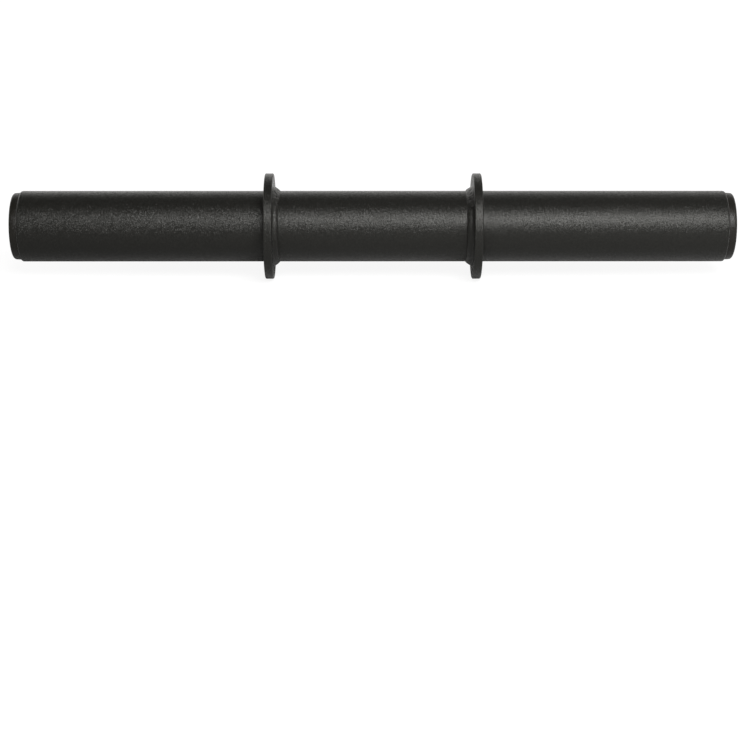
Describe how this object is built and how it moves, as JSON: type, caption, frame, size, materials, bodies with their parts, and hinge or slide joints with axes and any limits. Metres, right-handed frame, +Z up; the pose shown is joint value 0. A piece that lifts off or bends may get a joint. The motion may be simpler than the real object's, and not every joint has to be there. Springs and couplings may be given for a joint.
{
  "type": "fat bar",
  "caption": "Short thick-grip bar for weight plates: one straight tube, a welded round stop flange at each end of the grip, and a plastic cap in each tube end.",
  "frame": {"origin": "centre of the bar, on the tube's axis, half way between the two flanges", "axes": "+X along the tube to the right, +Z up, and the front faces -Y"},
  "size_m": [0.5092, 0.0746, 0.0746],
  "materials": {
    "coated_steel": "fine-textured matt black powder coat",
    "cap_plastic": "matt moulded black plastic"
  },
  "bodies": {
    "root": {"tube": "coated_steel", "left_flange": "coated_steel", "right_flange": "coated_steel", "left_weld": "coated_steel", "right_weld": "coated_steel", "left_end_cap": "cap_plastic", "right_end_cap": "cap_plastic"}
  },
  "joints": []
}
